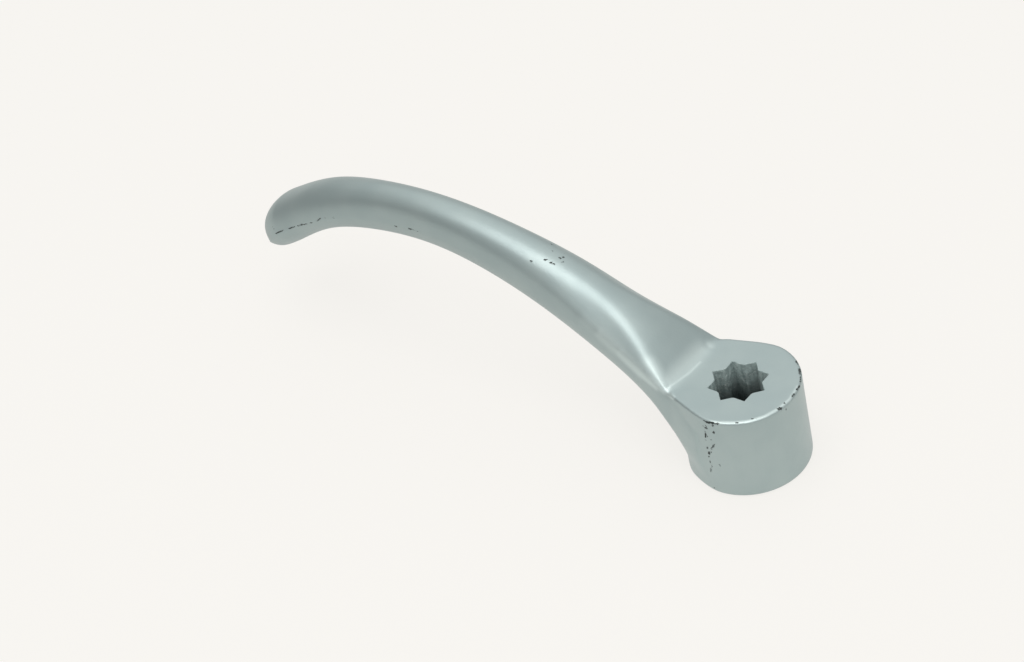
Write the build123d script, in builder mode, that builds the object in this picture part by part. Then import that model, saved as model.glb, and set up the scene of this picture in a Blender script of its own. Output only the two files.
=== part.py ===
from build123d import *
import os
from math import cos, radians, sin, tan

import numpy as np

# Lever handle of a car's inner door, one casting: a round boss that grips a
# square spindle, and a swan-neck arm that climbs off it, arches over and
# curls down into a broad fingertip grip.
# Millimetres. The origin is on the boss's axis at its lower face, +Z runs up
# the spindle, +X points along the arm, and the XZ plane is the plane of symmetry.

# Boss
boss_height = 18.0
boss_radius = 11.48
boss_rim_round = 0.5
boss_foot_round = 0.7

# Socket: two squares, one turned an eighth of a turn on the other
spindle_square = 8.0
socket_point_round = 0.25

# Neck: the boss's flat shoulder, tapering out to where the arm climbs. Its two
# sides are flats that run on down the boss and cut a little off its wall.
neck_end = 10.2
neck_half_width_at_axis = 11.6
neck_taper = 0.315
neck_depth = 9.0
neck_end_round = 1.5

# Arm stations. Each section stands between a point of the arm's upper line and
# a point of its lower line, both given as (x, height above the boss's top).
# half_width   from the plane of symmetry to the parting line
# parting      share of the section's height at which the parting line runs
# crown        half width of the crowned strip along the top
# bow          slope of that strip at its edge, in degrees
# flank        slope at which the side falls away from the strip, in degrees
# squareness   how far the side is drawn out into its corner, 0 to 1
# under        the same for the underside
# lean         how far the sides lean in from the parting line, in degrees
arm_stations = [
    dict(upper=(3.5, -5.6), lower=(3.5, -16.4), half_width=10.6, parting=0.5,
         crown=10.0, bow=4, flank=45, squareness=0.8, under=0.62, lean=0),
    dict(upper=(8.1, -1.3), lower=(9.8, -14.5), half_width=9.05, parting=0.5,
         crown=8.5, bow=6, flank=45, squareness=0.8, under=0.58, lean=0),
    dict(upper=(12.6, 2.5), lower=(14.2, -8.9), half_width=8.05, parting=0.5,
         crown=7.1, bow=12, flank=40, squareness=0.85, under=0.68, lean=0),
    dict(upper=(17.8, 6.7), lower=(21.4, -4.2), half_width=7.3, parting=0.53,
         crown=5.0, bow=24, flank=36, squareness=0.8, under=0.64, lean=0),
    dict(upper=(25.0, 10.6), lower=(29.2, -0.5), half_width=6.45, parting=0.5,
         crown=3.2, bow=24, flank=32, squareness=0.72, under=0.63, lean=0),
    dict(upper=(34.8, 14.6), lower=(38.7, 3.5), half_width=5.65, parting=0.49,
         crown=2.0, bow=20, flank=22, squareness=0.64, under=0.62, lean=0),
    dict(upper=(48.8, 18.15), lower=(51.1, 7.5), half_width=4.85, parting=0.475,
         crown=1.8, bow=20, flank=20, squareness=0.62, under=0.62, lean=4),
    dict(upper=(65.9, 19.85), lower=(66.1, 9.9), half_width=4.45, parting=0.47,
         crown=1.7, bow=20, flank=20, squareness=0.62, under=0.62, lean=10),
    dict(upper=(82.9, 18.25), lower=(81.2, 8.8), half_width=4.75, parting=0.46,
         crown=1.8, bow=19, flank=19, squareness=0.62, under=0.62, lean=14),
    dict(upper=(96.9, 14.05), lower=(93.4, 5.65), half_width=5.85, parting=0.45,
         crown=2.2, bow=17, flank=17, squareness=0.62, under=0.62, lean=16),
    dict(upper=(109.4, 7.2), lower=(104.1, -0.8), half_width=7.05, parting=0.45,
         crown=2.6, bow=16, flank=16, squareness=0.62, under=0.62, lean=20),
]

# Sections that the arm is lofted through, spread evenly between its two ends
arm_steps = 36

# Tip: the last section runs on along a curling line and closes as a dome
tip_length = 10.6
tip_curl = 32.0
tip_angles = (12, 24, 35, 45, 54, 62, 69, 75, 80, 84)


def fair(stations, steps):
    """Carry the stations' values along natural cubic splines, and return evenly spaced stations."""
    names = [name for name in stations[0] if name not in ("upper", "lower")]
    rows = [[*one["upper"], *one["lower"], *(one[name] for name in names)] for one in stations]
    values = np.array(rows, float)
    middles = (values[:, 0:2] + values[:, 2:4]) / 2
    spans = np.linalg.norm(np.diff(middles, axis=0), axis=1)
    places = np.concatenate([[0], np.cumsum(spans)])

    # The second derivatives at the stations, which are zero at both ends
    last = len(stations) - 1
    slopes = np.diff(values, axis=0) / spans[:, None]
    system = np.eye(last + 1)
    bends = np.zeros_like(values)
    for i in range(1, last):
        system[i, i - 1:i + 2] = spans[i - 1], 2 * (spans[i - 1] + spans[i]), spans[i]
        bends[i] = 6 * (slopes[i] - slopes[i - 1])
    bends = np.linalg.solve(system, bends)

    faired = []
    for place in np.linspace(0, places[-1], steps):
        i = min(np.searchsorted(places, place, side="right") - 1, last - 1)
        ahead = place - places[i]
        span = spans[i]
        rate = slopes[i] - span * (2 * bends[i] + bends[i + 1]) / 6
        change = (bends[i + 1] - bends[i]) / span
        value = values[i] + ahead * (rate + ahead * (bends[i] / 2 + ahead * change / 6))
        station = dict(zip(names, value[4:]))
        station["upper"] = value[0:2]
        station["lower"] = value[2:4]
        faired.append(station)
    return faired


def frame_of(station):
    """Return a section's root on the parting line, its upward direction and its height."""
    upper_x, upper_z = station["upper"]
    lower_x, lower_z = station["lower"]
    span = Vector(upper_x - lower_x, 0, upper_z - lower_z)
    up = span.normalized()
    root = Vector(lower_x, 0, lower_z) + up * (span.length * station["parting"])
    return root, up, span.length


def arm_section(station):
    """Make one section of the arm as a face on its own slanted plane."""
    root, up, height = frame_of(station)
    plane = Plane(root + Vector(0, 0, boss_height), x_dir=(0, 1, 0), z_dir=Vector(0, 1, 0).cross(up))

    half_width = station["half_width"]
    crown = station["crown"]
    drop = height * station["parting"]
    rise = height - drop
    bow = tan(radians(station["bow"]))
    crown_edge = rise - crown * bow / 2
    corner_height = crown_edge - (half_width - crown) * tan(radians(station["flank"]))
    pull = station["squareness"]
    under_pull = station["under"]
    lean = tan(radians(station["lean"]))

    def belly(sign):
        """Control points of one half of the underside, from the middle out."""
        return [
            (0, -drop),
            (sign * under_pull * half_width, -drop),
            (sign * (half_width - lean * under_pull * drop), -under_pull * drop),
            (sign * half_width, 0),
        ]

    def flank(sign):
        """Control points of one side, from the parting line up to the crowned strip."""
        return [
            (sign * half_width, 0),
            (sign * (half_width - lean * pull * corner_height), pull * corner_height),
            (sign * (crown + pull * (half_width - crown)),
             crown_edge + pull * (corner_height - crown_edge)),
            (sign * crown, crown_edge),
        ]

    strip = [
        (crown, crown_edge),
        (crown / 3, crown_edge + 2 / 3 * crown * bow),
        (-crown / 3, crown_edge + 2 / 3 * crown * bow),
        (-crown, crown_edge),
    ]

    curves = [
        Bezier(*belly(1)),
        Bezier(*flank(1)),
        Bezier(*strip),
        Bezier(*reversed(flank(-1))),
        Bezier(*reversed(belly(-1))),
    ]
    return Face(Wire([plane.from_local_coords(curve) for curve in curves]))


def tip_station(angle):
    """Shrink the last station along a quarter of an oval; 90 degrees is the very tip."""
    last = arm_stations[-1]
    root, up, height = frame_of(last)
    reach = sin(radians(angle))
    scale = cos(radians(angle))
    ahead = up.rotate(Axis.Y, 90 + tip_curl * reach / 2)
    up_here = up.rotate(Axis.Y, tip_curl * reach)
    centre = root + ahead * (tip_length * reach)
    upper = centre + up_here * (height * (1 - last["parting"]) * scale)
    lower = centre - up_here * (height * last["parting"] * scale)
    return dict(
        last,
        upper=(upper.X, upper.Z),
        lower=(lower.X, lower.Z),
        half_width=last["half_width"] * scale,
        crown=last["crown"] * scale,
    )


sections = [arm_section(station) for station in fair(arm_stations, arm_steps)]
sections += [arm_section(tip_station(angle)) for angle in tip_angles]

with BuildPart() as door_lever:
    # Boss, and the neck's block beside its upper half
    with BuildSketch():
        Circle(boss_radius)
    extrude(amount=boss_height)
    fillet(door_lever.edges().sort_by(Axis.Z)[0], boss_foot_round)
    with BuildSketch(Plane.XY.offset(boss_height)):
        Rectangle(neck_end, 2 * boss_radius, align=(Align.MIN, Align.CENTER))
    extrude(amount=-neck_depth)

    # The two flats, and the neck's rounded end
    with BuildSketch() as flats:
        with BuildLine():
            back = 2 * boss_radius
            back_width = neck_half_width_at_axis + neck_taper * back
            end_width = neck_half_width_at_axis - neck_taper * neck_end
            Polyline(
                (-back, -back_width),
                (neck_end, -end_width),
                (neck_end, end_width),
                (-back, back_width),
                close=True,
            )
        make_face()
        corners = flats.vertices().filter_by_position(Axis.X, neck_end - 0.01, neck_end + 0.01)
        fillet(corners, neck_end_round)
    extrude(amount=boss_height, mode=Mode.INTERSECT)
    top_face = door_lever.faces().sort_by(Axis.Z)[-1]
    fillet(top_face.outer_wire().edges(), boss_rim_round)

    # Arm
    loft(sections, ruled=True)

    # Socket, right through the boss
    with BuildSketch() as star:
        Rectangle(spindle_square, spindle_square)
        Rectangle(spindle_square, spindle_square, rotation=45)
        points = star.vertices().sort_by_distance(Vector(0, 0, 0))[:8]
        fillet(points, socket_point_round)
    extrude(amount=boss_height, mode=Mode.SUBTRACT)

door_lever.part.label = "door_lever"
os.makedirs("parts", exist_ok=True)
export_step(door_lever.part, "parts/door_lever.step")
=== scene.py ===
import bpy
import numpy as np
from mathutils import Matrix, Vector


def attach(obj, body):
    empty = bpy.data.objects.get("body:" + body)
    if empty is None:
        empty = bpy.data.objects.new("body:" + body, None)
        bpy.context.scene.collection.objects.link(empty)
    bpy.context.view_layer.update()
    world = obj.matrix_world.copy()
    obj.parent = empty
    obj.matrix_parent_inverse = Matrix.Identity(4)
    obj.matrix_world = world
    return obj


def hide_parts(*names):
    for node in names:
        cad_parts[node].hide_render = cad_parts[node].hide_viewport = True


# The looks of a cast lever handle: its surface, its paint with the chips and rubbed
# edges, and the pale table it stands on. Shapes are worked out in millimetres and
# become metres when a mesh is finished.

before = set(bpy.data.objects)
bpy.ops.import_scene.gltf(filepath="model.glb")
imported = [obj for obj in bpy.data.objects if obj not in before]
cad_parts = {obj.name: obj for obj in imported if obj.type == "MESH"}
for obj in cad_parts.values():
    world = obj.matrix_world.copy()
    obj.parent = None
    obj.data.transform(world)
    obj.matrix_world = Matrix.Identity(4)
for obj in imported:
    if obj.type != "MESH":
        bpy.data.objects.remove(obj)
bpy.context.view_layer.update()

MILLIMETRE = 0.001

# Boss, socket and neck
BOSS_HEIGHT = 18.0
BOSS_RADIUS = 11.48
RIM_ROUND = 0.5
FOOT_ROUND = 0.7
SPINDLE_SQUARE = 8.0
SOCKET_POINT_ROUND = 0.25
NECK_END = 10.6
NECK_HALF_WIDTH_AT_AXIS = 11.6
NECK_TAPER = 0.315
NECK_DEPTH = 9.0
NECK_END_ROUND = 2.8

# Arm stations, each a section between a point of the arm's upper line and a point of
# its lower line. The columns are: upper x and height, lower x and height (heights
# above the boss's top), half width, parting line's share of the height, half width of
# the crowned strip, the strip's slope at its edge, the slope of the flank, how far the
# flank is drawn out into its corner, the same for the underside, and the lean.
ARM_STATIONS = np.array([
    [3.5, -5.6, 3.5, -16.4, 10.6, 0.5, 10.0, 4, 45, 0.8, 0.62, 0],
    [8.1, -1.3, 9.8, -14.5, 9.3, 0.5, 8.7, 5, 45, 0.9, 0.5, 0],
    [12.6, 2.5, 14.2, -8.9, 8.4, 0.5, 7.35, 8, 46, 0.92, 0.6, 0],
    [17.8, 6.7, 21.4, -4.2, 7.45, 0.53, 5.0, 15, 45, 0.88, 0.62, 0],
    [25.0, 10.6, 29.2, -0.5, 6.5, 0.5, 2.9, 18, 39, 0.78, 0.63, 0],
    [34.8, 14.6, 38.7, 3.5, 5.65, 0.49, 2.0, 20, 22, 0.64, 0.62, 0],
    [48.8, 18.15, 51.1, 7.5, 4.85, 0.475, 1.8, 20, 20, 0.62, 0.62, 4],
    [65.9, 19.85, 66.1, 9.9, 4.45, 0.47, 1.7, 20, 20, 0.62, 0.62, 10],
    [82.9, 18.25, 81.2, 8.8, 4.75, 0.46, 1.8, 19, 19, 0.62, 0.62, 14],
    [96.9, 14.05, 93.4, 5.65, 5.85, 0.45, 2.2, 17, 17, 0.62, 0.62, 16],
    [109.4, 7.2, 104.1, -0.8, 7.05, 0.45, 2.6, 16, 16, 0.62, 0.62, 20],
])
TIP_LENGTH = 10.6
TIP_CURL = np.radians(32.0)
TIP_CLOSES_AT = np.sin(np.radians(84.0))

# How finely the surface is worked out
ARM_RINGS = 160
TIP_RINGS = 24
ANGLE_STEPS = 120
CURVE_STEPS = 40
VOXEL = 0.31
PAINT_INSET = 0.02

SHARP_ANGLE = np.radians(32)

# Socket walls
MOUTH_CHAMFER = 0.15
ROUGHNESS_OF_SOCKET = 0.07

# Widths over which two surfaces run into each other: the arm into the neck's top and
# sides, the arm's underside into the boss's wall, and the flats into the boss's wall
NECK_FILLET = 0.8
BOSS_FILLET = 2.6
FLAT_EASE = 1.0

# The flats stand out this much further for each millimetre down. The arm's top
# flattens out over its last millimetres before the neck, and the edge of its crowned
# strip is a soft ridge, rounded over this many radians seen from the section's root.
FLAT_DRAFT = 0.026
FLATTENING_ENDS = 11.0
FLATTENING = 0.1
RIDGE_SOFTNESS = 0.12


# Places of wear and of painted highlights, each a short line on the surface: from (x, y, z), to
# (x, y, z), how far it reaches, and how strongly. Where a chip's value is high the coat is
# gone for good, and where it is middling only in specks.
CHIPS = [
    # Dashes along the edge near the fingertip
    (107, 6.9, 20.9, 104.7, 6.7, 22.4, 0.36, 1),
    (103, 6.6, 23.3, 101.2, 6.4, 24.3, 0.36, 1),
    (100.4, 6.3, 24.7, 99.9, 6.3, 24.9, 0.45, 0.89),
    (99.4, 6.2, 25.2, 98.9, 6.2, 25.5, 0.48, 1),
    (98.4, 6.1, 25.6, 97.6, 6, 26, 0.36, 1),
    (97, 6, 26.3, 96.2, 5.9, 26.6, 0.36, 1),
    (94.8, 5.8, 27.4, 93.7, 5.6, 28.3, 0.5, 0.84),
    (92.6, 5.5, 28.6, 92.3, 5.4, 28.9, 0.65, 0.69),
    (90.3, 5.3, 29.3, 90.2, 5.3, 29.5, 0.65, 0.79),
    (108.2, 6.3, 21.8, 108.1, 6.3, 21.8, 0.36, 1),
    (107.6, 6.5, 21.6, 107.6, 6.5, 21.6, 0.72, 0.79),
    (74.4, 4.4, 32, 74, 4.4, 32, 0.53, 1),
    (70.8, 4.4, 32.6, 70.2, 4.4, 32.6, 0.5, 0.94),
    (70.2, 4.4, 32.6, 67.9, 4.4, 32.6, 0.58, 0.69),
    # Chips by the highest stretch
    (41.9, 3, 33.7, 41.6, 3, 33.6, 0.47, 1),
    (39.7, 1.8, 33.8, 39.2, 1.5, 33.7, 0.43, 1),
    (38.4, 1.7, 33.4, 38.1, 1.5, 33.4, 0.47, 1),
    (37.7, 1.5, 33.3, 37.5, 1.5, 33.2, 0.43, 1),
    (39.6, -0.8, 34, 39.5, -0.8, 33.9, 0.44, 0.9),
    (37.7, -0.2, 33.5, 37.3, -0.2, 33.4, 0.48, 0.9),
    (37.2, -0.8, 33.3, 37.2, -0.9, 33.3, 0.57, 1),
    (36.7, 0.3, 33.2, 36.6, 0.2, 33.1, 0.72, 0.74),
    (38.1, -1.8, 33.3, 37.9, -1.7, 33.2, 0.72, 0.69),
    (41.2, -2.4, 33.8, 40.9, -2.5, 33.8, 0.72, 0.79),
    # The chip at the corner of the near flat, and specks down the wall under it
    (0.1, 11.4, 17.7, -0.8, 11.4, 17.6, 0.53, 0.9),
    (-0.8, 11.4, 17.6, -2.1, 11.1, 17.8, 0.52, 1.1),
    (-2.1, 11.1, 17.7, -3, 10.9, 17.8, 0.72, 0.84),
    (-0.4, 11.34, 16.7, -0.5, 11.34, 16.4, 0.4, 0.95),
    (0.3, 11.34, 16.2, 0.3, 11.34, 16, 0.4, 0.95),
    (-0.3, 11.34, 14.2, -0.3, 11.34, 13.9, 0.4, 0.95),
    (-1.1, 11.39, 13.6, -1, 11.39, 13.4, 0.4, 0.9),
    (-0.6, 11.34, 10.4, -0.5, 11.34, 10.1, 0.4, 0.95),
    (-0.1, 11.34, 6.6, -0.1, 11.34, 6.4, 0.4, 0.9),
    (-0.1, 11.34, 15.9, -0.7, 11.34, 16, 0.72, 0.89),
    (0, 11.34, 14.9, 0, 11.34, 14.9, 0.72, 0.94),
    (0, 11.34, 14.3, 0.2, 11.34, 13.5, 0.53, 1),
    (-2, 11.27, 15.7, -1.9, 11.29, 15.4, 0.53, 1.05),
    (-2, 11.3, 17.3, -2.1, 11.3, 17.1, 0.72, 0.89),
    (0.2, 11.34, 12.8, 0.2, 11.34, 12.7, 0.58, 0.79),
    (0.2, 11.34, 10.9, 0.2, 11.34, 10.9, 0.72, 0.99),
    (-1.7, 11.32, 12.5, -0.7, 11.34, 11.1, 0.58, 0.82),
    (-0.1, 11.34, 9.9, 0, 11.34, 9.5, 0.62, 1.1),
    (0.2, 11.34, 8.8, 0.3, 11.34, 8.4, 0.58, 0.79),
    (0.1, 11.34, 7.7, 0.1, 11.34, 7.3, 0.58, 0.79),
    (0.2, 11.34, 5.9, 0.4, 11.34, 4.8, 0.58, 0.77),
    (-1.9, 11.29, 7.5, -2, 11.27, 7.4, 0.72, 0.79),
    (0.4, 11.34, 0.9, 0.2, 11.34, 0.9, 0.44, 0.95),
    # Chips along the rim on the far side from the arm
    (-10.8, 1.2, 18, -10.9, 1.3, 17.9, 0.53, 1),
    (-10.7, 3, 17.9, -10.9, 2.6, 17.9, 0.87, 0.94),
    (-11.3, 1.7, 17.1, -11.3, 1.7, 17, 0.57, 1),
    (-5.8, 9.5, 17.9, -6.2, 9.2, 17.9, 0.58, 0.79),
    (-7.9, 7.3, 18, -8.2, 7.1, 18, 0.58, 0.74),
    (-6.4, -9.2, 17.8, -7.4, -8.4, 17.9, 0.72, 0.81),
    (-8.2, -7.6, 17.9, -9.1, -6.5, 17.9, 0.8, 0.89),
    (-9.5, -5.9, 17.8, -10.2, -4.8, 17.8, 0.72, 0.81),
    (-10.6, -3.8, 17.8, -10.9, -2.7, 17.9, 0.72, 0.84),
    (-11, -1.8, 17.9, -11.1, -0.7, 17.9, 0.72, 0.79),
]
# Light patches in the paint: partly rubbed wear, mostly painted highlights
RUBS_AND_PAINTED_HIGHLIGHTS = [
    # The rim, rubbed light and with a painted highlight line along it
    (-1.7, 11.1, 17.9, -3, 10.7, 17.9, 0.48, 1),
    (-3, 10.7, 17.9, -5.7, 9.4, 18, 0.48, 1.05),
    (-5.7, 9.4, 18, -7.6, 8.1, 17.9, 0.48, 1.05),
    (-7.6, 8.1, 17.9, -9.5, 5.8, 17.9, 0.48, 1),
    (-9.5, 5.8, 17.9, -10.6, 3.1, 17.9, 0.48, 1),
    (-10.6, 3.1, 17.9, -11.1, 0.2, 17.9, 0.5, 0.85),
    (-11.1, 0.2, 17.9, -10.5, -3.6, 17.9, 0.5, 0.7),
    # Painted highlight lines at the corner where arm and neck meet, and along the step at the arm's foot
    (10.6, 8, 18.3, 9.8, 8.4, 17.7, 0.7, 0.95),
    (9.8, 8.4, 17.7, 8.3, 8.8, 17.8, 0.7, 1.1),
    (10.4, 7.7, 18.2, 9.9, 5.8, 18.3, 0.6, 0.75),
    (9.9, 5.8, 18.3, 9.2, 2.1, 18.2, 0.6, 0.75),
    (9.2, 2.1, 18.2, 9.1, -1, 18.2, 0.6, 0.7),
    (10.3, -5.5, 18.4, 9.9, -5.4, 18.3, 1.5, 0.6),
    # A painted highlight along the side edge of the arm's foot
    (28.8, 5.7, 26.2, 25.4, 6.2, 24.5, 2.4, 0.35),
    (25.4, 6.2, 24.5, 20.8, 6.9, 22.2, 2.2, 0.62),
    (20.8, 6.9, 22.2, 16.1, 7.7, 19.8, 1.8, 0.9),
    (16.1, 7.7, 19.8, 12.4, 8.2, 18.5, 1.4, 1),
    (12.4, 8.2, 18.5, 10.5, 8.4, 17.8, 0.8, 0.9),
    # Scuffs and painted highlights on the broad top of the arm's foot, along the edge of its crowned strip and
    # along the crest
    (10.9, 6.2, 18.8, 10.5, -3.5, 18.7, 2.8, 0.66),
    (14.7, 6, 21.6, 11.1, 7.4, 18.8, 2.6, 0.6),
    (25, 2, 28.3, 17.9, 4.1, 24.2, 2.4, 0.2),
    (17.9, 4.1, 24.2, 12.7, 6.2, 20.1, 2.6, 0.22),
    (42.5, 2.2, 34.3, 39.3, 2, 33.5, 1.8, 0.22),
    (39.3, 2, 33.5, 33.3, 2.3, 31.5, 1.8, 0.24),
]


def fair(stations, count):
    """Spread count rows evenly along natural cubic splines through the stations.

    Between two stations each value is a cubic of the way gone. Its second derivative
    runs straight from one station's bend to the next one's, and is zero at both ends.
    """
    middles = (stations[:, 0:2] + stations[:, 2:4]) / 2
    spans = np.linalg.norm(np.diff(middles, axis=0), axis=1)
    places = np.concatenate([[0], np.cumsum(spans)])
    slopes = np.diff(stations, axis=0) / spans[:, None]

    inner = np.arange(1, len(stations) - 1)
    system = np.eye(len(stations))
    system[inner, inner - 1] = spans[:-1]
    system[inner, inner] = 2 * (spans[:-1] + spans[1:])
    system[inner, inner + 1] = spans[1:]
    bends = np.zeros_like(stations)
    bends[inner] = 6 * np.diff(slopes, axis=0)
    bends = np.linalg.solve(system, bends)

    wanted = np.linspace(0, places[-1], count)
    i = np.clip(np.searchsorted(places, wanted, side="right") - 1, 0, len(spans) - 1)
    ahead = (wanted - places[i])[:, None]
    span = spans[i][:, None]
    rate = slopes[i] - span * (2 * bends[i] + bends[i + 1]) / 6
    change = (bends[i + 1] - bends[i]) / span
    return stations[i] + ahead * (rate + ahead * (bends[i] / 2 + ahead * change / 6))


def cubic(points, t):
    """Cubic curve: four points weighted by (1-t)^3, 3t(1-t)^2, 3t^2(1-t) and t^3."""
    weights = [(1 - t) ** 3, 3 * t * (1 - t) ** 2, 3 * t ** 2 * (1 - t), t ** 3]
    across = sum(w * np.asarray(point[0])[:, None] for w, point in zip(weights, points))
    height = sum(w * np.asarray(point[1])[:, None] for w, point in zip(weights, points))
    return across, height


def section_radii(stations, angles):
    """Radius of each section at each angle from its root on the parting line.

    Half a section is three cubic curves: the belly from the middle of the underside to
    the parting line, the flank from there to the edge of the crowned strip, and half of
    the strip. Their points are turned into radius over angle.
    """
    half_width, parting, crown, bow, flank, pull, under_pull, lean = stations[:, 4:].T
    height = np.linalg.norm(stations[:, 0:2] - stations[:, 2:4], axis=1)
    drop = height * parting
    bow = np.tan(np.radians(bow))
    lean = np.tan(np.radians(lean))
    crown_edge = height - drop - crown * bow / 2
    corner = crown_edge - (half_width - crown) * np.tan(np.radians(flank))
    zero = np.zeros_like(drop)

    belly = [
        (zero, -drop),
        (under_pull * half_width, -drop),
        (half_width - lean * under_pull * drop, -under_pull * drop),
        (half_width, zero),
    ]
    side = [
        (half_width, zero),
        (half_width - lean * pull * corner, pull * corner),
        (crown + pull * (half_width - crown), crown_edge + pull * (corner - crown_edge)),
        (crown, crown_edge),
    ]
    strip = [
        (crown, crown_edge),
        (crown / 3, crown_edge + 2 / 3 * crown * bow),
        (-crown / 3, crown_edge + 2 / 3 * crown * bow),
        (-crown, crown_edge),
    ]
    whole = np.linspace(0, 1, CURVE_STEPS)
    half = np.linspace(0, 0.5, CURVE_STEPS)
    curves = [cubic(belly, whole), cubic(side, whole[1:]), cubic(strip, half[1:])]
    across = np.concatenate([curve[0] for curve in curves], axis=1)
    upward = np.concatenate([curve[1] for curve in curves], axis=1)
    turn = np.arctan2(upward, across)
    radius = np.hypot(upward, across)
    radii = np.array([np.interp(angles, t, r) for t, r in zip(turn, radius)])

    # The soft ridge: near the strip's edge a bell-weighted mean takes the radius's place
    gap = angles[:, None] - angles
    beyond = angles[:, None] - (np.pi - angles)
    bell = np.exp(-(gap / RIDGE_SOFTNESS) ** 2 / 2) + np.exp(-(beyond / RIDGE_SOFTNESS) ** 2 / 2)
    softened = radii @ (bell / bell.sum(axis=1, keepdims=True)).T
    from_ridge = (angles - np.arctan2(crown_edge, crown)[:, None]) / (2.4 * RIDGE_SOFTNESS)
    along = np.clip((stations[:, 0] - 9) / 5, 0, 1)
    share = np.exp(-from_ridge ** 4) * along[:, None]
    return radii + share * (softened - radii)


def turned(direction, angle):
    """Turn (x, z) directions about the Y axis, from up towards the arm's tip."""
    x, z = direction
    return np.stack([x * np.cos(angle) + z * np.sin(angle), z * np.cos(angle) - x * np.sin(angle)], -1)


def lay_out_arm():
    """Roots, upward directions, radii and reaches of all sections, the tip's included.

    Along the arm a section stands on its own slanted plane. Past the last station the
    root runs on along a line that curls down, the plane turns with it, and reach is
    the share of the tip's length that has been gone.
    """
    stations = fair(ARM_STATIONS, ARM_RINGS)
    stations[:, 1] += FLATTENING * np.clip(FLATTENING_ENDS - stations[:, 0], 0, 3) ** 2
    angles = np.linspace(-np.pi / 2, np.pi / 2, ANGLE_STEPS)
    radii = section_radii(stations, angles)
    span = stations[:, 0:2] - stations[:, 2:4]
    ups = span / np.linalg.norm(span, axis=1)[:, None]
    roots = stations[:, 2:4] + span * stations[:, 5:6] + [0, BOSS_HEIGHT]

    reaches = np.linspace(0, 1.15, TIP_RINGS)[1:]
    way = turned(ups[-1], np.pi / 2 + TIP_CURL * reaches / 2)
    tip_roots = roots[-1] + way * (TIP_LENGTH * reaches)[:, None]
    tip_ups = turned(ups[-1], TIP_CURL * reaches)
    return {
        "angles": angles,
        "roots": np.concatenate([roots, tip_roots]),
        "ups": np.concatenate([ups, tip_ups]),
        "radii": np.concatenate([radii, np.repeat(radii[-1:], len(reaches), axis=0)]),
        "reaches": np.concatenate([np.zeros(ARM_RINGS), reaches / TIP_CLOSES_AT]),
    }


ARM = lay_out_arm()


def rounded_corner(a, b, radius):
    """Distance to two faces that meet in a round, from the distances to the faces.

    Inside both faces it is the nearer one. Past them it is the distance to the round's
    centre line, less the radius.
    """
    a = a + radius
    b = b + radius
    return np.hypot(np.maximum(a, 0), np.maximum(b, 0)) + np.minimum(np.maximum(a, b), 0) - radius


def run_together(a, b, width):
    """The smaller of two distances, less a parabola where they differ by under width.

    The parabola fills the inner corner between the two surfaces.
    """
    near = np.maximum(width - np.abs(a - b), 0) / width
    return np.minimum(a, b) - near ** 2 * width / 4


def arm_distance(points):
    """How far points lie outside the arm, below zero inside it.

    A point lies between two section planes. Between them the root, the upward direction
    and the radius at the point's angle are mixed, and the distance is the point's radius
    less the section's, seen square to the outline. In the tip the radius and the reach
    make an oval: their squares add up to one on the surface.
    """
    x, y, z = points.T
    roots, ups, radii = ARM["roots"], ARM["ups"], ARM["radii"]
    ahead = (x[:, None] - roots[:, 0]) * ups[:, 1] - (z[:, None] - roots[:, 1]) * ups[:, 0]
    k = np.clip((ahead >= 0).sum(axis=1) - 1, 0, len(roots) - 2)
    rows = np.arange(len(points))
    share = np.clip(ahead[rows, k] / (ahead[rows, k] - ahead[rows, k + 1]), 0, 1)

    def between(values):
        weight = share if values.ndim == 1 else share[:, None]
        return values[k] + weight * (values[k + 1] - values[k])

    root = between(roots)
    up = between(ups)
    height = ((x - root[:, 0]) * up[:, 0] + (z - root[:, 1]) * up[:, 1]) / np.linalg.norm(up, axis=1)
    radius = np.hypot(y, height)
    place = (np.arctan2(height, np.abs(y)) + np.pi / 2) / np.pi * (ANGLE_STEPS - 1)
    j = np.clip(place.astype(int), 0, ANGLE_STEPS - 2)
    part = place - j
    before = radii[k, j] + share * (radii[k + 1, j] - radii[k, j])
    after = radii[k, j + 1] + share * (radii[k + 1, j + 1] - radii[k, j + 1])
    outline = before + part * (after - before)
    slope = (after - before) / (ARM["angles"][1] - ARM["angles"][0]) / outline
    oval = np.sqrt((radius / outline) ** 2 + between(ARM["reaches"]) ** 2)
    distance = (oval - 1) * outline / np.sqrt(1 + slope ** 2)
    return np.maximum(distance, -ahead[:, 0])


def boss_distance(points):
    """How far points lie outside the boss, below zero inside it.

    In plan it is a circle with two tapering flats cut into it. It has a round at each end.
    """
    x, y, z = points.T
    circle = np.hypot(x, y) - BOSS_RADIUS
    plan = -run_together(-circle, -flat_distance(x, y, z), FLAT_EASE)
    return np.maximum(rounded_corner(plan, z - BOSS_HEIGHT, RIM_ROUND), rounded_corner(plan, -z, FOOT_ROUND))


def neck_distance(points):
    """How far points lie outside the neck, below zero inside it.

    It is a slab between the two flats, no wider than the boss, in line with the boss's top.
    """
    x, y, z = points.T
    side = -run_together(BOSS_RADIUS - np.abs(y), -flat_distance(x, y, z), FLAT_EASE)
    plan = np.maximum(rounded_corner(side, x - NECK_END, NECK_END_ROUND), -x)
    return np.maximum(rounded_corner(plan, z - BOSS_HEIGHT, RIM_ROUND), BOSS_HEIGHT - NECK_DEPTH - z)


def flat_distance(x, y, z):
    """Distance in plan to the nearer of the two flats, which stand out further lower down."""
    half_width = NECK_HALF_WIDTH_AT_AXIS + FLAT_DRAFT * (BOSS_HEIGHT - z)
    return (np.abs(y) + NECK_TAPER * x - half_width) / np.hypot(1, NECK_TAPER)


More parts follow.
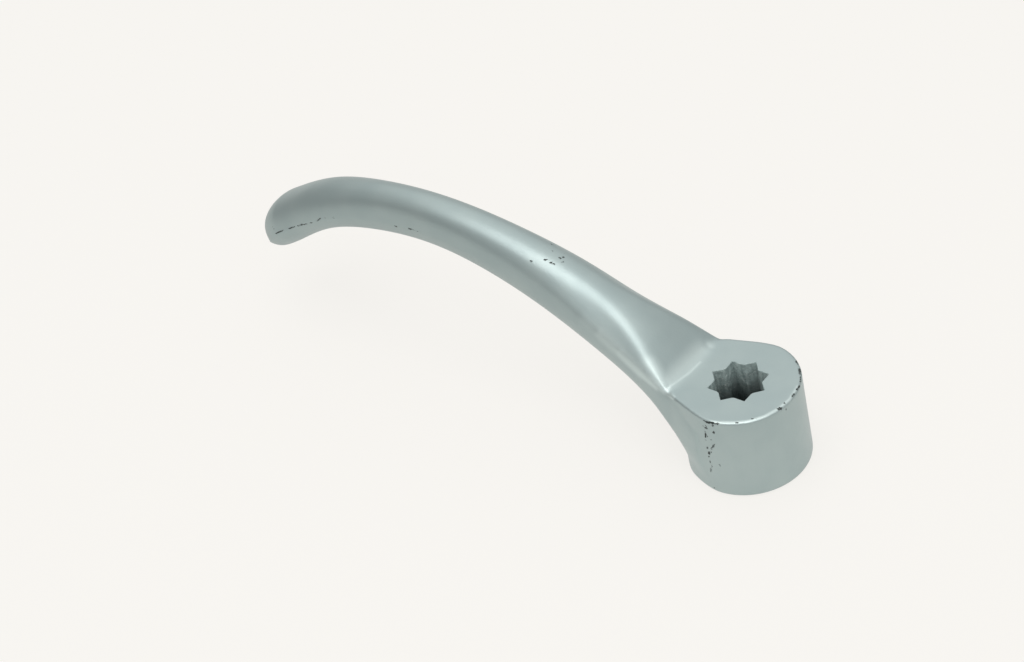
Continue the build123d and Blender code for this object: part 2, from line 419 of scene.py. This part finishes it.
def lever_distance(points):
    """Distance to the whole casting, where arm, boss and neck run together in fillets.

    The fillet with the boss fades out towards its top, where the arm meets the flat face.
    Nothing reaches below the boss's lower face.
    """
    arm = arm_distance(points)
    boss = boss_distance(points)
    neck = neck_distance(points)
    below = np.clip((BOSS_HEIGHT - 2 - points[:, 2]) / 5, 0, 1)
    fillet = NECK_FILLET + (BOSS_FILLET - NECK_FILLET) * below
    with_boss = run_together(arm, boss, fillet)
    with_neck = run_together(arm, neck, NECK_FILLET)
    whole = np.minimum(with_boss, with_neck)
    return np.maximum(whole, -points[:, 2]) + PAINT_INSET


def skin(rings):
    """Join each ring's points to the next ring's with quads, and close both end rings."""
    count, around = rings.shape[:2]
    row = np.arange(count - 1)[:, None] * around
    here = np.arange(around)
    there = (here + 1) % around
    quads = np.stack([row + here, row + there, row + around + there, row + around + here], -1)
    last = (count - 1) * around
    ends = [list(range(around))[::-1], list(range(last, last + around))]
    mesh = bpy.data.meshes.new("skin")
    mesh.from_pydata(rings.reshape(-1, 3).tolist(), [], quads.reshape(-1, 4).tolist() + ends)
    return mesh


def arm_rings():
    """Rings of the arm: root, plus up times r sin(a), plus Y times r cos(a), shrunk towards the tip."""
    open_rings = ARM["reaches"] < 0.99
    quarter = ARM["angles"]
    around = np.concatenate([quarter, np.pi - quarter[-2:0:-1]])
    radii = ARM["radii"][open_rings]
    radii = np.concatenate([radii, radii[:, -2:0:-1]], axis=1)
    radii = radii * np.sqrt(1 - ARM["reaches"][open_rings, None] ** 2)
    roots = ARM["roots"][open_rings, None]
    ups = ARM["ups"][open_rings, None]
    x = roots[..., 0] + ups[..., 0] * radii * np.sin(around)
    y = radii * np.cos(around)
    z = roots[..., 1] + ups[..., 1] * radii * np.sin(around)
    return np.stack([x, y, z], -1)


def upright_rings(outline, heights):
    """Rings of an upright prism: the outline at each of the heights."""
    heights = np.asarray(heights, float)
    x = np.broadcast_to(outline[:, 0], (len(heights), len(outline)))
    y = np.broadcast_to(outline[:, 1], x.shape)
    z = np.broadcast_to(heights[:, None], x.shape)
    return np.stack([x, y, z], -1)


def joined(meshes):
    """Put several meshes into one, as islands of their own."""
    holders = [bpy.data.objects.new("holder", mesh) for mesh in meshes]
    for holder in holders:
        bpy.context.collection.objects.link(holder)
    with bpy.context.temp_override(active_object=holders[0], selected_editable_objects=holders):
        bpy.ops.object.join()
    mesh = holders[0].data
    bpy.data.objects.remove(holders[0])
    return mesh


def modified(mesh, kind, **settings):
    """Return the mesh that a single modifier makes of this one."""
    holder = bpy.data.objects.new("holder", mesh)
    bpy.context.collection.objects.link(holder)
    modifier = holder.modifiers.new("step", kind)
    for name, value in settings.items():
        setattr(modifier, name, value)
    graph = bpy.context.evaluated_depsgraph_get()
    result = bpy.data.meshes.new_from_object(holder.evaluated_get(graph))
    bpy.data.objects.remove(holder)
    return result


def read(elements, name, width):
    """Read one value of all of a mesh's elements as an array with width columns."""
    kind = np.int32 if name == "vertices" else np.float32
    values = np.empty(len(elements) * width, kind)
    elements.foreach_get(name, values)
    return values.reshape(-1, width)


def eased(points, edges):
    """Move each point to the mean of its neighbours."""
    ends = edges.ravel()
    others = edges[:, ::-1].ravel()
    counts = np.bincount(ends, minlength=len(points))
    sums = [np.bincount(ends, points[others, axis], len(points)) for axis in range(3)]
    return np.stack(sums, -1) / counts[:, None]


def drawn_onto(points, distance, steps):
    """Newton's steps onto the surface where distance is zero.

    A point moves against the distance's gradient by the distance over the gradient's
    squared length. The gradient is the difference over a short way each side.
    """
    reach = 0.02
    for _ in range(steps):
        moved = []
        for some in np.array_split(points, len(points) // 20000 + 1):
            slopes = [
                (distance(some + offset) - distance(some - offset)) / (2 * reach)
                for offset in np.eye(3) * reach
            ]
            gradient = np.stack(slopes, -1)
            steepness = np.maximum((gradient ** 2).sum(axis=1), 0.05)
            step = gradient * (distance(some) / steepness)[:, None]
            length = np.linalg.norm(step, axis=1)[:, None]
            moved.append(some - step * np.minimum(1, VOXEL / np.maximum(length, VOXEL)))
        points = np.concatenate(moved)
    return points


def casting_mesh():
    """The casting without its socket: a fine even skin, drawn onto the exact surface."""
    turn = np.linspace(0, 2 * np.pi, 240, endpoint=False)
    circle = np.stack([np.cos(turn), np.sin(turn)], -1) * BOSS_RADIUS
    end_width = NECK_HALF_WIDTH_AT_AXIS - NECK_TAPER * NECK_END
    slab = np.array([
        [0, -NECK_HALF_WIDTH_AT_AXIS],
        [NECK_END, -end_width],
        [NECK_END, end_width],
        [0, NECK_HALF_WIDTH_AT_AXIS],
    ])
    boss = skin(upright_rings(circle, [0, BOSS_HEIGHT]))
    neck = skin(upright_rings(slab, [BOSS_HEIGHT - NECK_DEPTH, BOSS_HEIGHT]))
    rough = joined([skin(arm_rings()), boss, neck])
    mesh = modified(rough, "REMESH", mode="VOXEL", voxel_size=VOXEL, adaptivity=0)
    points = read(mesh.vertices, "co", 3).astype(float)
    edges = read(mesh.edges, "vertices", 2)
    points = drawn_onto(points, lever_distance, 2)
    for _ in range(2):
        points = drawn_onto(eased(points, edges), lever_distance, 1)
    points = drawn_onto(points, lever_distance, 1)
    mesh.vertices.foreach_set("co", points.ravel().astype(np.float32))
    mesh.update()
    return mesh


def wear_and_highlights(points, places):
    """How strongly each point is chipped, rubbed, or given a painted highlight: the largest over all places of
    strength times (1 - way to it / reach).
    """
    value = np.zeros(len(points))
    for *line, reach, strength in places:
        start, end = np.array(line[:3]), np.array(line[3:])
        along = end - start
        share = np.clip((points - start) @ along / max(along @ along, 1e-6), 0, 1)
        gap = np.linalg.norm(points - start - share[:, None] * along, axis=1)
        value = np.maximum(value, strength * (1 - gap / reach))
    return value


def finished(name, mesh):
    """Make a piece of a mesh in millimetres: it becomes metres, shaded smooth but for its sharp edges."""
    points = read(mesh.vertices, "co", 3)
    for kind, places in (("chips", CHIPS), ("rubs_and_highlights", RUBS_AND_PAINTED_HIGHLIGHTS)):
        layer = mesh.attributes.new(kind, "FLOAT", "POINT")
        layer.data.foreach_set("value", wear_and_highlights(points, places).astype(np.float32))
    mesh.transform(Matrix.Scale(MILLIMETRE, 4))
    mesh.polygons.foreach_set("use_smooth", np.ones(len(mesh.polygons), bool))
    mesh.set_sharp_from_angle(angle=SHARP_ANGLE)
    piece = bpy.data.objects.new(name, mesh)
    bpy.context.scene.collection.objects.link(piece)
    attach(piece, "root")
    return piece


def star_outline(spacing):
    """The socket's outline: two equal squares an eighth of a turn apart, with rounded notches.

    Over one eighth the radius is the half side over the cosine of the angle from the
    middle of the nearest side. In a notch the smaller of two such radii is eased off.
    """
    half = SPINDLE_SQUARE / 2
    count = int(8 * SPINDLE_SQUARE / spacing / 8) * 8
    turn = np.linspace(0, 2 * np.pi, count, endpoint=False)
    straight = half / np.cos((turn + np.pi / 4) % (np.pi / 2) - np.pi / 4)
    slanted = half / np.cos(turn % (np.pi / 2) - np.pi / 4)
    radius = -run_together(-straight, -slanted, SOCKET_POINT_ROUND)
    return np.stack([radius * np.cos(turn), radius * np.sin(turn)], -1)


def socket_cutter():
    """The rough star-shaped hole: its outline carried up, widened into a small chamfer at the mouth."""
    outline = star_outline(0.3)
    heights = np.concatenate([np.arange(-0.6, BOSS_HEIGHT - MOUTH_CHAMFER, 0.4),
                              [BOSS_HEIGHT - MOUTH_CHAMFER, BOSS_HEIGHT + 0.6]])
    rings = upright_rings(outline, heights)
    outward = outline / np.linalg.norm(outline, axis=1)[:, None]
    rough = ROUGHNESS_OF_SOCKET * waves(rings, 1.1, 5)
    flare = np.maximum(rings[..., 2] - (BOSS_HEIGHT - MOUTH_CHAMFER), 0)
    mouth = np.clip((BOSS_HEIGHT - rings[..., 2]) / 1.5, 0, 1)
    rings[..., :2] += outward * (rough * mouth + flare)[..., None]
    return skin(rings)


def waves(points, pitch, seed):
    """Smooth random relief between about -1 and 1: the mean of many sine waves in random directions."""
    chance = np.random.default_rng(seed)
    total = np.zeros(points.shape[:-1])
    count = 24
    for _ in range(count):
        direction = chance.normal(size=3)
        direction *= 2 * np.pi / pitch * chance.uniform(0.4, 1.6) / np.linalg.norm(direction)
        total += np.sin(points @ direction + chance.uniform(0, 2 * np.pi))
    return total / np.sqrt(count)


def cut_socket(mesh):
    """Take the socket's star out of the casting; its walls keep the second material."""
    cutter = bpy.data.objects.new("cutter", socket_cutter())
    bpy.context.collection.objects.link(cutter)
    for name in ("paint", "wall"):
        for each in (mesh, cutter.data):
            each.materials.append(bpy.data.materials.get(name) or bpy.data.materials.new(name))
    cutter.data.polygons.foreach_set("material_index", np.ones(len(cutter.data.polygons), np.int32))
    result = modified(mesh, "BOOLEAN", operation="DIFFERENCE", solver="EXACT", object=cutter)
    bpy.data.objects.remove(cutter)
    return result


def add(tree, kind, inputs=None, **settings):
    """Add a node, set its properties and then its inputs, which are values or other nodes' outputs."""
    node = tree.nodes.new(kind)
    for name, value in settings.items():
        setattr(node, name, value)
    for name, value in (inputs or {}).items():
        if isinstance(value, bpy.types.NodeSocket):
            tree.links.new(value, node.inputs[name])
        else:
            node.inputs[name].default_value = value
    return node


def new_material(name):
    """An empty material, its tree, and the position on the piece in metres."""
    material = bpy.data.materials.get(name) or bpy.data.materials.new(name)
    material.use_nodes = True
    tree = material.node_tree
    tree.nodes.clear()
    place = add(tree, "ShaderNodeTexCoord").outputs["Object"]
    return material, tree, place


def noise(tree, place, size, detail=3.0, roughness=0.5):
    """Noise between 0 and 1 whose lumps are about size millimetres across."""
    return add(
        tree, "ShaderNodeTexNoise",
        {"Vector": place, "Scale": 1 / (size * MILLIMETRE), "Detail": detail, "Roughness": roughness},
    ).outputs["Fac"]


def ramp(tree, value, low, high, to_low=0.0, to_high=1.0, smooth=True):
    """Carry a value from the stretch low to high onto the stretch to_low to to_high."""
    return add(
        tree, "ShaderNodeMapRange",
        {"Value": value, "From Min": low, "From Max": high, "To Min": to_low, "To Max": to_high},
        interpolation_type="SMOOTHSTEP" if smooth else "LINEAR",
    ).outputs["Result"]


def combine(tree, operation, a, b):
    """One sum on two values."""
    return add(tree, "ShaderNodeMath", {0: a, 1: b}, operation=operation).outputs["Value"]


def blend(tree, share, a, b):
    """Mix two colours."""
    node = add(tree, "ShaderNodeMix", data_type="RGBA")
    for name, value in ((0, share), (6, a), (7, b)):
        if isinstance(value, bpy.types.NodeSocket):
            tree.links.new(value, node.inputs[name])
        else:
            node.inputs[name].default_value = value
    return node.outputs[2]


def linear(red, green, blue):
    """A display colour of 0 to 255 as the linear colour that a shader takes."""
    values = np.array([red, green, blue]) / 255
    values = np.where(values <= 0.04045, values / 12.92, ((values + 0.055) / 1.055) ** 2.4)
    return (*values, 1.0)


PAINT_COLOUR = linear(165, 180, 180)
PAINT_LIGHT = linear(173, 187, 186)
PAINT_METALLIC = 0.68
PAINT_ROUGHNESS = 0.38
BARE_COLOUR = linear(46, 54, 52)
# Light colour of rubbed paint, also carrying painted highlights and painted sheen
RUBBED_AND_HIGHLIGHT_COLOUR = linear(216, 230, 228)
# The two wall colours are much lighter than bare cast metal, painted light standing in for light that reaches
# into the socket; the next colour is painted shade for its depths
WALL_COLOUR = linear(180, 197, 195)
WALL_DARK = linear(140, 157, 156)
WALL_PAINTED_SHADE = linear(58, 70, 70)
GRIT_COLOUR = linear(235, 238, 236)


def worn_and_highlight_share(tree, place, kind, size, low, high):
    """Where one kind of mark shows, chips or rubbed wear with painted highlights: its value on the surface, made
    ragged by fine noise.
    """
    value = add(tree, "ShaderNodeAttribute", attribute_name=kind).outputs["Fac"]
    grain = noise(tree, place, size, 5.0, 0.7)
    ragged = combine(tree, "ADD", value, combine(tree, "MULTIPLY", combine(tree, "SUBTRACT", grain, 0.5), 1.3))
    return ramp(tree, ragged, low, high)


def paint_material():
    """Satin silver-grey paint over the casting, rubbed light on the rim and chipped to a dark base.

    It has fine metal flake, soft clouds, a faint orange peel and low waves. The light on the rim and
    along the arm is partly rubbed wear and partly painted highlight: an even soft painted sheen with brighter
    ragged patches in it.
    """
    material, tree, place = new_material("paint")
    clouds = ramp(tree, noise(tree, place, 7.0, 2.0), 0.3, 0.7)
    flake = ramp(tree, noise(tree, place, 0.22, 2.0), 0.3, 0.7)
    rubbed_and_highlight_patches = worn_and_highlight_share(tree, place, "rubs_and_highlights", 0.5, 0.45, 0.8)
    chipped = worn_and_highlight_share(tree, place, "chips", 0.22, 0.6, 0.68)

    colour = blend(tree, combine(tree, "MULTIPLY", clouds, 0.6), PAINT_COLOUR, PAINT_LIGHT)
    # Painted highlights and rubbed wear: an even painted sheen that rises with the attribute, and brighter ragged
    # patches
    rubs_and_highlights = add(tree, "ShaderNodeAttribute", attribute_name="rubs_and_highlights").outputs["Fac"]
    rub_and_highlight_share = combine(tree, "MULTIPLY", ramp(tree, rubs_and_highlights, 0.0, 0.8), 0.62)
    rub_and_highlight_share = combine(tree, "MAXIMUM", rub_and_highlight_share, combine(tree, "MULTIPLY", rubbed_and_highlight_patches, 0.6))
    colour = blend(tree, rub_and_highlight_share, colour, RUBBED_AND_HIGHLIGHT_COLOUR)
    colour = blend(tree, chipped, colour, BARE_COLOUR)
    metallic = combine(tree, "MULTIPLY", combine(tree, "SUBTRACT", 1.0, chipped), PAINT_METALLIC)
    roughness = ramp(tree, flake, 0, 1, PAINT_ROUGHNESS - 0.03, PAINT_ROUGHNESS + 0.03)
    roughness = combine(tree, "ADD", roughness, combine(tree, "MULTIPLY", chipped, 0.25))

    peel = combine(tree, "MULTIPLY", noise(tree, place, 0.7, 3.0), 0.016)
    ripple = combine(tree, "MULTIPLY", noise(tree, place, 5.0, 1.0), 0.05)
    relief = combine(tree, "ADD", combine(tree, "ADD", peel, ripple), combine(tree, "MULTIPLY", chipped, -0.04))
    bump = add(tree, "ShaderNodeBump", {
        "Strength": 1.0, "Distance": MILLIMETRE, "Height": relief,
    }).outputs["Normal"]
    shader = add(tree, "ShaderNodeBsdfPrincipled", {
        "Base Color": colour,
        "Metallic": metallic,
        "Roughness": roughness,
        "Normal": bump,
    })
    output = add(tree, "ShaderNodeOutputMaterial")
    tree.links.new(shader.outputs["BSDF"], output.inputs["Surface"])
    return material


def wall_material():
    """The socket's cast walls: dull grey-green, pitted, streaked down, gritty, and darker the deeper they lie."""
    material, tree, place = new_material("wall")
    pits = noise(tree, place, 0.6, 4.0, 0.6)
    drawn_out = add(tree, "ShaderNodeMapping", {"Vector": place, "Scale": (1, 1, 0.12)}).outputs["Vector"]
    streaks = noise(tree, drawn_out, 0.9, 2.0)
    mottle = ramp(tree, combine(tree, "ADD", combine(tree, "MULTIPLY", pits, 0.5),
                                combine(tree, "MULTIPLY", streaks, 0.5)), 0.36, 0.62)
    colour = blend(tree, mottle, WALL_DARK, WALL_COLOUR)
    grit = ramp(tree, noise(tree, place, 0.3, 2.0), 0.62, 0.68)
    colour = blend(tree, combine(tree, "MULTIPLY", grit, 0.5), colour, GRIT_COLOUR)
    height = add(tree, "ShaderNodeSeparateXYZ", {0: place}).outputs["Z"]
    # Painted shade: the walls darken the deeper they lie
    painted_shade_depth = ramp(tree, height, 17 * MILLIMETRE, 9 * MILLIMETRE)
    colour = blend(tree, painted_shade_depth, colour, WALL_PAINTED_SHADE)
    bump = add(tree, "ShaderNodeBump", {
        "Strength": 1.0, "Distance": MILLIMETRE, "Height": combine(tree, "MULTIPLY", pits, 0.12),
    }).outputs["Normal"]
    shader = add(tree, "ShaderNodeBsdfPrincipled", {
        "Base Color": colour,
        "Metallic": 0.1,
        "Roughness": 0.5,
        "Normal": bump,
    })
    output = add(tree, "ShaderNodeOutputMaterial")
    tree.links.new(shader.outputs["BSDF"], output.inputs["Surface"])
    return material


paint_material()
wall_material()
lever = finished("lever_casting", cut_socket(casting_mesh()))
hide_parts("door_lever")

# Table and studio light
TABLE_COLOUR = linear(246, 244, 240)
TABLE_SIZE = 3.0
TABLE_GLOW = 0.86
TABLE_FADES_FROM = 0.3
TABLE_FADES_TO = 1.3
TABLE_FAR = 0.55
TABLE_SHADE = 0.24
ROOM_COLOUR = linear(250, 250, 249)
ROOM_LOW = 0.55
ROOM_HIGH = 1.1
DARK_SIDE = (0.86, 0.46, 0.1)
DIM_SIDE = (-0.5, -0.75, 0.42)
LAMP_COLOUR = (1.0, 0.965, 0.95)


def add_table():
    """A plain pale table top.

    Seen straight or in a reflection it is mostly its own colour; the rest takes the
    shadow. Its glow fades away from the lever, a painted falloff of light, and in reflections
    a painted shadow makes it darker under the arm than by the boss.
    """
    half = TABLE_SIZE / 2
    mesh = bpy.data.meshes.new("table")
    corners = [(-half, -half, 0), (half, -half, 0), (half, half, 0), (-half, half, 0)]
    mesh.from_pydata(corners, [], [(0, 1, 2, 3)])
    table = bpy.data.objects.new("table", mesh)
    bpy.context.scene.collection.objects.link(table)
    material, tree, place = new_material("table_top")
    rays = add(tree, "ShaderNodeLightPath").outputs
    seen = combine(tree, "MAXIMUM", rays["Is Camera Ray"], rays["Is Glossy Ray"])
    seen = combine(tree, "MAXIMUM", seen, rays["Is Transmission Ray"])
    reach = add(tree, "ShaderNodeVectorMath", {0: place}, operation="LENGTH").outputs["Value"]
    # Painted falloff of light: the glow dims away from the lever
    strength = ramp(tree, reach, TABLE_FADES_FROM, TABLE_FADES_TO, 1.0, TABLE_FAR)
    # Painted shadow in reflections: darker away from the boss, under the arm
    shade = combine(tree, "MULTIPLY", rays["Is Glossy Ray"], ramp(tree, reach, 0.01, 0.1, 0, TABLE_SHADE))
    strength = combine(tree, "MULTIPLY", strength, combine(tree, "SUBTRACT", 1.0, shade))
    glow = add(tree, "ShaderNodeEmission", {"Color": TABLE_COLOUR, "Strength": strength}).outputs[0]
    matt = add(tree, "ShaderNodeBsdfDiffuse", {"Color": TABLE_COLOUR}).outputs[0]
    mix = add(tree, "ShaderNodeMixShader", {0: combine(tree, "MULTIPLY", seen, TABLE_GLOW), 1: matt, 2: glow})
    output = add(tree, "ShaderNodeOutputMaterial")
    tree.links.new(mix.outputs[0], output.inputs["Surface"])
    mesh.materials.append(material)


def add_room():
    """A pale room, brighter overhead, with a dark panel beyond the fingertip and a dim corner behind the boss.

    The brightness changes smoothly with the cosine of the angle to each side's direction.
    """
    world = bpy.data.worlds.new("room")
    world.use_nodes = True
    tree = world.node_tree
    direction = add(tree, "ShaderNodeTexCoord").outputs["Generated"]

    def towards(side, low, high, at_low, at_high):
        side = Vector(side).normalized()
        cosine = add(tree, "ShaderNodeVectorMath", {0: direction, 1: side}, operation="DOT_PRODUCT")
        return ramp(tree, cosine.outputs["Value"], low, high, at_low, at_high)

    strength = towards((0, 0, 1), 0.1, 0.75, ROOM_LOW, ROOM_HIGH)
    strength = combine(tree, "MULTIPLY", strength, towards(DARK_SIDE, 0.4, 0.85, 1, 0.38))
    strength = combine(tree, "MULTIPLY", strength, towards(DIM_SIDE, 0.65, 0.95, 1, 0.7))
    background = tree.nodes["Background"]
    background.inputs["Color"].default_value = ROOM_COLOUR
    tree.links.new(strength, background.inputs["Strength"])
    bpy.context.scene.world = world


def add_softbox(name, towards, size, radiance):
    """A square soft light that stands off in a direction and faces the middle of the lever."""
    middle = np.array([0.05, 0, 0.025])
    direction = np.array(towards) / np.linalg.norm(towards)
    distance = 0.8
    light = bpy.data.lights.new(name, "AREA")
    light.shape = "SQUARE"
    light.size = size
    light.color = LAMP_COLOUR
    light.energy = radiance * np.pi * size ** 2
    lamp = bpy.data.objects.new(name, light)
    lamp.location = middle + direction * distance
    lamp.rotation_euler = Vector(direction).to_track_quat("Z", "Y").to_euler()
    bpy.context.scene.collection.objects.link(lamp)


add_table()
add_room()
add_softbox("overhead_softbox", (0.02, 0.2, 0.95), 0.62, 1.55)
add_softbox("low_softbox", (0.12, 0.95, 0.3), 0.3, 0.6)
add_softbox("far_softbox", (-0.55, 0.42, 0.72), 0.4, 1.02)

# Camera: where the photograph was taken from, as fitted to the socket's star
AZIMUTH = np.radians(226.52)
ELEVATION = np.radians(39.21)
ROLL = np.radians(-13.68)
CAMERA_DISTANCE = 500.0
FOCAL_PIXELS = 2780.0
BOSS_TOP_PIXEL = np.array([738.21, 380.69])
IMAGE_SIZE = np.array([1024, 662])
SENSOR_WIDTH = 36.0


def add_camera():
    """A camera whose picture has the boss's top centre at its pixel, seen from the azimuth and elevation."""
    back = np.array([
        np.sin(AZIMUTH) * np.cos(ELEVATION),
        -np.cos(AZIMUTH) * np.cos(ELEVATION),
        np.sin(ELEVATION),
    ])
    level = np.array([np.cos(AZIMUTH), np.sin(AZIMUTH), 0])
    upright = np.cross(back, level)
    right = np.cos(ROLL) * level + np.sin(ROLL) * upright
    up = np.cos(ROLL) * upright - np.sin(ROLL) * level
    aside = (BOSS_TOP_PIXEL - IMAGE_SIZE / 2) * CAMERA_DISTANCE / FOCAL_PIXELS
    place = back * CAMERA_DISTANCE - right * aside[0] + up * aside[1] + [0, 0, BOSS_HEIGHT]

    camera = bpy.data.objects.new("camera", bpy.data.cameras.new("camera"))
    camera.data.sensor_width = SENSOR_WIDTH
    camera.data.lens = FOCAL_PIXELS / IMAGE_SIZE[0] * SENSOR_WIDTH
    camera.matrix_world = Matrix.Translation(Vector(place * MILLIMETRE)) @ Matrix(
        np.stack([right, up, back], -1).tolist()
    ).to_4x4()
    bpy.context.scene.collection.objects.link(camera)
    bpy.context.scene.camera = camera


add_camera()

bpy.context.scene.view_settings.view_transform = "Standard"
